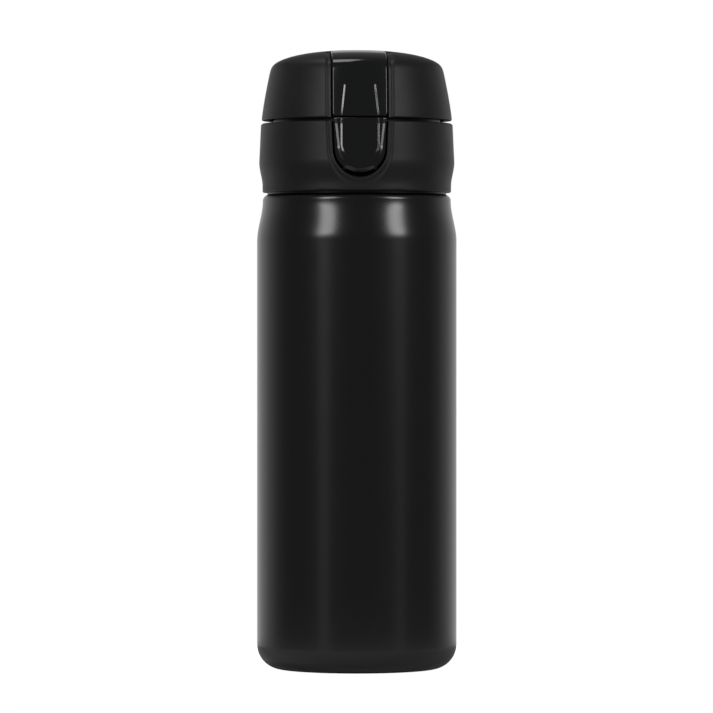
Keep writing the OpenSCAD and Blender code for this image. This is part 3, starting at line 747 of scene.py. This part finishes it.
def make_slider():
    """Lock slider: a strip up the lid's side and over its crest, with the upper half of the thumb dish."""
    out = Outline(chain(lid_side(), lid_dome()), 0.04)
    out.soften(LID_Z + LID_CREST_H)
    t_low = out.t_at_z(SLIDER_Z)
    t_end = float(out.t[np.argmax(out.r <= -SLIDER_END_Y)])
    crest_t = out.t_at_z(LID_Z + LID_CREST_H)
    top_t = out.t_at_z(SLIDER_DISH_TOP_Z)
    rows = spread((t_low, 0.05), (t_low + 0.6, 0.16), (t_end - 0.8, 0.06), (t_end, 1))

    def half_w(t):
        q = np.clip(SLIDER_CORNER - (t - t_low), 0, SLIDER_CORNER)
        return SLIDER_HALF_W - SLIDER_CORNER + math.sqrt(max(SLIDER_CORNER ** 2 - q ** 2, 0))

    def t_shift(x, t):
        # rows turn from level rings into straight lines across the top
        r = np.interp(t, out.t, out.r)
        want = np.minimum(np.hypot(x, r), LID_CREST_R - JOIN)
        order = np.argsort(out.r)
        straight = np.interp(want, out.r[order], out.t[order])
        share = smooth((t - crest_t) / (t_end - crest_t) * STRAIGHTEN)
        return t * (1 - share) + straight * share

    def depth(x, t, side):
        ends = np.minimum(rows - t_low, t_end - rows)[:, None]
        u = np.clip((top_t - t) / (top_t - t_low), 0, 1)
        dish_w = DISH_TOP_HALF_W + (DISH_HALF_W - DISH_TOP_HALF_W) * u
        dish_g = -rounded_strip(x, t, dish_w, top_t, SLIDER_DISH_CORNER)
        from_top = 1 - smooth((top_t - t) / CREST_FADE)
        dish = dish_fall(dish_g, np.hypot(x / dish_w, from_top))
        flat = flatter(x, SLIDER_HALF_W) * smooth((crest_t + CREST_FADE / 2 - t) / CREST_FADE)
        return edge_round(np.minimum(side, ends), SLIDER_ROUND) + flat + dish

    def back_depth(t, front):
        return np.full(front.shape, SLIDER_T)

    make_patch("lock_slider_cover", out, rows, half_w, depth, back_depth, "lock", ("lock_slider",), t_shift)


# ---------------------------------------------------------------- lid

def lid_outline():
    """The lid's outside, from its inner foot edge up the side and over to the middle."""
    out = Outline(chain(
        [(LID_FOOT_R - LID_WALL, LID_Z)],
        arc(LID_FOOT_R - EDGE_ROUND - 0.02, LID_Z + EDGE_ROUND, EDGE_ROUND, -90, 0),
        lid_side(), lid_dome()), 0.03)
    out.soften(LID_Z + LID_CREST_H)
    return out


def lid_grid(out, rows):
    """Points of the plain lid, with columns close together at the channel's edges and on the notch's."""
    half_x = spread((0, 0.9), (8.4, 0.2), (9.24, 0.06), (9.9, 0.14), (11.6, 0.5), (13, 1))
    front_x = np.r_[-half_x[::-1][:-1], half_x]
    grid = []
    for r, z in zip(*out.at(rows)):
        front = np.arcsin(front_x / max(r, FAN_R))
        a1 = math.pi - math.asin(NOTCH_HALF_W / max(r, FAN_R))
        side = np.linspace(front[-1], a1, LID_SIDE_COLUMNS)[1:]
        notch = np.linspace(a1, 2 * math.pi - a1, LID_NOTCH_COLUMNS)[1:-1]
        angles = np.r_[front, side, notch, 2 * math.pi - side[::-1]]
        grid.append(np.stack([r * np.sin(angles), -r * np.cos(angles), np.full(len(angles), z)], 1))
    return np.array(grid)


def lid_outside(out, grid, t, g):
    """Sinks the slider's channel into the plain lid and rounds its edges. g is the distance from it."""
    x, y = grid[..., 0], grid[..., 1]
    front = y < 0
    channel = g < -ON_EDGE
    bevel = BEVEL_DEPTH * smooth((BEVEL_REACH - g) / BEVEL_FADE)
    corner = edge_round(np.maximum(g, 0), CHANNEL_ROUND)
    fall = np.where(channel, CHANNEL_DEPTH, bevel + corner) * front
    fade = smooth((t - LID_WALL * 0.6) / 1.2)
    plain_r, plain_z = out.at(t)
    r, z = out.at(t, fall * np.where(channel, 1, fade))
    foot = t < out.t_at_z(LID_Z + 1)
    r = np.where(foot, np.maximum(plain_r - fall * fade, LID_FOOT_R - LID_WALL), r)
    z = np.where(foot, plain_z, z)
    base_r = np.maximum(np.hypot(x, y), 1e-9)
    keep_x = front & (g < CHANNEL_KEEP_X) & (base_r > FAN_R)
    new_x = np.where(keep_x, x, x * r / base_r)
    new_y = np.where(keep_x, -np.sqrt(np.maximum(r * r - x * x, 0)), y * r / base_r)
    return np.stack([new_x, new_y, z], -1)


def lid_inside(out, grid, t, g):
    """The lid's inner wall, point for point behind its outside, and thicker behind the channel."""
    thick = (g < CHANNEL_FLOOR_REACH) & (grid[..., 1] < 0) & (grid[..., 2] > LID_Z + CHANNEL_SLOT_H)
    wall = np.where(thick, CHANNEL_FLOOR, LID_WALL)
    base_r = np.maximum(np.hypot(grid[..., 0], grid[..., 1]), 1e-9)
    on_side = t < out.t_at_z(LID_Z + LID_CREST_H)
    dome_r = base_r * (LID_CREST_R - wall) / LID_CREST_R
    dome_z = LID_Z + LID_CREST_H + (LID_DOME_H - wall) * dome_h(np.clip(base_r / LID_CREST_R, 0, 1))
    r = np.where(on_side, np.maximum(base_r - wall, 0), dome_r)
    r = np.where(t <= LID_WALL, LID_FOOT_R - LID_WALL, r)
    z = np.where(on_side, grid[..., 2], dome_z)
    return np.stack([grid[..., 0] * r / base_r, grid[..., 1] * r / base_r, z], -1)


def lid_faces(grid):
    """Faces of the lid, less the hinge notch and the open foot of the channel."""
    points = grid.reshape(-1, 3)
    faces = []
    for f in grid_faces(*grid.shape[:2], wrap=True):
        c = points[list(f)].mean(0)
        notch = c[1] > 0 and abs(c[0]) < NOTCH_HALF_W and c[2] < LID_NOTCH_Z
        slot = c[1] < 0 and abs(c[0]) < CHANNEL_HALF_W - 0.01 and c[2] < LID_Z + CHANNEL_SLOT_H
        if not notch and not slot:
            faces.append(f)
    return faces


def make_lid():
    """Matte lid with the slider's channel in front and the hinge notch behind."""
    out = lid_outline()
    t_side = out.t_at_z(LID_Z + 1)
    t_crest = out.t_at_z(LID_Z + LID_CREST_H - 1)
    stops = spread((0, 0.5), (LID_WALL - 0.6, 0.1), (t_side, 0.5), (t_crest, 0.22),
                   (out.length - 9, 0.8), (out.length, 1))
    rows = np.unique(np.r_[stops, out.t_at_z(LID_NOTCH_Z)])
    grid = lid_grid(out, rows)
    t = np.repeat(rows[:, None], grid.shape[1], 1)
    g = rounded_strip(grid[..., 0], grid[..., 1], CHANNEL_HALF_W, CHANNEL_END_Y, CHANNEL_CORNER)
    outer = lid_outside(out, grid, t, g).reshape(-1, 3)
    inner = lid_inside(out, grid, t, g).reshape(-1, 3)
    verts, faces = thickened(outer, inner, lid_faces(grid))
    verts, faces = merged(verts, faces, JOIN)
    new_mesh("lid_cover", verts, faces, "lid", MATTE, ("lid_shell",), sharp=50)


# ---------------------------------------------------------------- inside pieces

def make_spout():
    """Drinking spout: a socket, a flange and a tube with a full round lip."""
    foot_r = high("spout")[0]
    socket_z = low("spout")[2]
    foot_z = socket_z + SPOUT_SOCKET_H
    flange_z = foot_z + SPOUT_FLANGE_H
    lip_r = (SPOUT_R - SPOUT_BORE_R) / 2
    turned("drinking_spout", chain(
        [(SPOUT_BORE_R, socket_z), (SPOUT_SOCKET_R, socket_z), (SPOUT_SOCKET_R, foot_z), (foot_r, foot_z)],
        arc(foot_r - SPOUT_FLANGE_ROUND, flange_z - SPOUT_FLANGE_ROUND, SPOUT_FLANGE_ROUND, 0, 90, 4),
        arc(SPOUT_R + SPOUT_FILLET, flange_z + SPOUT_FILLET, SPOUT_FILLET, 270, 180, 6),
        arc(SPOUT_BORE_R + lip_r, SPOUT_TOP - lip_r, lip_r, 0, 180, 14)),
        "stopper", INNER, ("spout",))


CAD_FINISH = {
    "inner_vessel": STEEL, "insulation_foil": COPPER, "vacuum_getter": GETTER, "base_pan": PRESSED,
    "vacuum_seal_bead": BEAD, "stopper_gasket": SILICONE, "stopper_core": INNER,
    "spout_base_seal": SILICONE, "hinge_pin": WIRE, "lid_spring": WIRE, "latch_slide": LATCH,
    "button_spring": WIRE, "lid_liner": INNER, "spout_seal": SILICONE, "lock_keeper": LATCH}
SOFT_EDGES = {"stopper_core": 0.25, "lid_liner": 0.3, "latch_slide": 0.2, "lock_keeper": 0.2,
              "spout_seal": 0.3, "hinge_pin": 0.2}


def finish_cad_nodes():
    """Gives the CAD nodes that stay in view their materials, smooth shading and softened edges."""
    for name, finish in CAD_FINISH.items():
        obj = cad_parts[name]
        obj.data.materials.clear()
        obj.data.materials.append(finish)
        for p in obj.data.polygons:
            p.use_smooth = True
            p.material_index = 0
        if name in SOFT_EDGES:
            bevel = obj.modifiers.new("soft_edges", "BEVEL")
            bevel.width = SOFT_EDGES[name] * MM
            bevel.segments = 3
            bevel.limit_method = "ANGLE"
            bevel.angle_limit = math.radians(40)


# ---------------------------------------------------------------- stage

def lamp(name, size, distance, azimuth, elevation, power):
    """A soft oblong light, placed by its bearing from the target: azimuth 0 is straight in front."""
    az, el = math.radians(azimuth), math.radians(elevation)
    away = Vector((math.sin(az) * math.cos(el), -math.cos(az) * math.cos(el), math.sin(el)))
    data = bpy.data.lights.new(name, "AREA")
    data.shape = "RECTANGLE"
    data.size, data.size_y = size
    data.energy = power
    obj = bpy.data.objects.new(name, data)
    obj.location = Vector(LAMP_TARGET) + away * distance
    obj.rotation_mode = "QUATERNION"
    obj.rotation_quaternion = away.to_track_quat("Z", "Y")
    obj.visible_camera = False
    bpy.context.scene.collection.objects.link(obj)


def ramp(tree, source, stops):
    """A grey ramp through (position, value) stops."""
    node = tree.nodes.new("ShaderNodeValToRGB")
    node.color_ramp.interpolation = "EASE"
    while len(node.color_ramp.elements) < len(stops):
        node.color_ramp.elements.new(0.5)
    for element, (position, value) in zip(node.color_ramp.elements, stops):
        element.position = position
        element.color = (value, value, value, 1)
    tree.links.new(source, node.inputs["Fac"])
    return node.outputs["Color"]


def make_world():
    """White behind the flask up to a low height, dim all round the camera."""
    world = bpy.data.worlds.new("studio")
    bpy.context.scene.world = world
    world.use_nodes = True
    tree = world.node_tree
    nodes, links = tree.nodes, tree.links
    place = nodes.new("ShaderNodeTexCoord")
    split = nodes.new("ShaderNodeSeparateXYZ")
    links.new(place.outputs["Generated"], split.inputs["Vector"])
    wall = ramp(tree, split.outputs["Y"], WALL_STOPS)
    height = ramp(tree, split.outputs["Z"], HEIGHT_STOPS)
    both = nodes.new("ShaderNodeMix")
    both.data_type = "RGBA"
    both.blend_type = "MULTIPLY"
    both.inputs["Factor"].default_value = 1
    links.new(wall, both.inputs["A"])
    links.new(height, both.inputs["B"])
    lit = nodes.new("ShaderNodeMix")
    lit.data_type = "RGBA"
    lit.blend_type = "ADD"
    lit.inputs["Factor"].default_value = 1
    links.new(both.outputs["Result"], lit.inputs["A"])
    lit.inputs["B"].default_value = (*[ROOM_LEVEL] * 3, 1)
    seen = nodes.new("ShaderNodeMix")
    seen.data_type = "RGBA"
    seen.inputs["B"].default_value = (1, 1, 1, 1)
    path = nodes.new("ShaderNodeLightPath")
    links.new(path.outputs["Is Camera Ray"], seen.inputs["Factor"])
    links.new(lit.outputs["Result"], seen.inputs["A"])
    links.new(seen.outputs["Result"], nodes["Background"].inputs["Color"])


def make_floor():
    """A round white board. It is lifted to plain white for the camera only."""
    mesh = bpy.data.meshes.new("floor")
    rim = [(FLOOR_R * math.sin(a), FLOOR_R * math.cos(a), 0) for a in np.linspace(0, 2 * math.pi, 96, False)]
    mesh.from_pydata(rim, [], [tuple(range(len(rim)))[::-1]])
    floor = bpy.data.objects.new("floor", mesh)
    bpy.context.scene.collection.objects.link(floor)
    paint = bpy.data.materials.new("floor_paper")
    paint.use_nodes = True
    tree = paint.node_tree
    shader = tree.nodes["Principled BSDF"]
    shader.inputs["Base Color"].default_value = (FLOOR_GREY, FLOOR_GREY, FLOOR_GREY, 1)
    shader.inputs["Roughness"].default_value = 0.9
    shader.inputs["Specular IOR Level"].default_value = 0.1
    shader.inputs["Emission Color"].default_value = (1, 1, 1, 1)
    path = tree.nodes.new("ShaderNodeLightPath")
    lift = tree.nodes.new("ShaderNodeMath")
    lift.operation = "MULTIPLY"
    lift.inputs[1].default_value = FLOOR_LIFT
    tree.links.new(path.outputs["Is Camera Ray"], lift.inputs[0])
    tree.links.new(lift.outputs["Value"], shader.inputs["Emission Strength"])
    mesh.materials.append(paint)


def make_stage():
    """Plain white surroundings, two softboxes in front, and weak fill beside and above them."""
    make_world()
    make_floor()
    lamp("left_softbox", SOFTBOX_SIZE, LAMP_DISTANCE, -38, 22.5, 2.7)
    lamp("right_softbox", SOFTBOX_SIZE, LAMP_DISTANCE, 46, 22.5, 2.9)
    lamp("left_panel", PANEL_SIZE, LAMP_DISTANCE, -40, -2, 0.08)
    lamp("right_panel", PANEL_SIZE, LAMP_DISTANCE, 49, -2, 0.05)
    lamp("left_strip", STRIP_SIZE, LAMP_DISTANCE, -42, 12, 0.36)
    lamp("right_strip", STRIP_SIZE, LAMP_DISTANCE, 48, 12, 0.4)
    lamp("top_left_softbox", TOP_SIZE, TOP_DISTANCE, -110, 78, 2.2)
    bpy.context.scene.view_settings.view_transform = "Standard"


def make_camera():
    """Long lens, almost level with the flask and slightly to its left."""
    azimuth = math.radians(CAMERA_AZIMUTH)
    data = bpy.data.cameras.new("camera")
    data.sensor_width = SENSOR_W
    data.lens = SENSOR_W * CAMERA_DISTANCE / FRAME_W
    data.clip_start = 0.05
    data.clip_end = 20
    cam = bpy.data.objects.new("camera", data)
    cam.location = (CAMERA_DISTANCE * math.sin(azimuth), -CAMERA_DISTANCE * math.cos(azimuth), CAMERA_Z)
    cam.rotation_mode = "QUATERNION"
    cam.rotation_quaternion = (Vector(CAMERA_AIM) - cam.location).to_track_quat("-Z", "Y")
    bpy.context.scene.collection.objects.link(cam)
    bpy.context.scene.camera = cam


make_body()
make_base_plate()
make_collar()
make_button()
make_slider()
make_lid()
make_spout()
finish_cad_nodes()
make_stage()
make_camera()

bpy.context.view_layer.update()
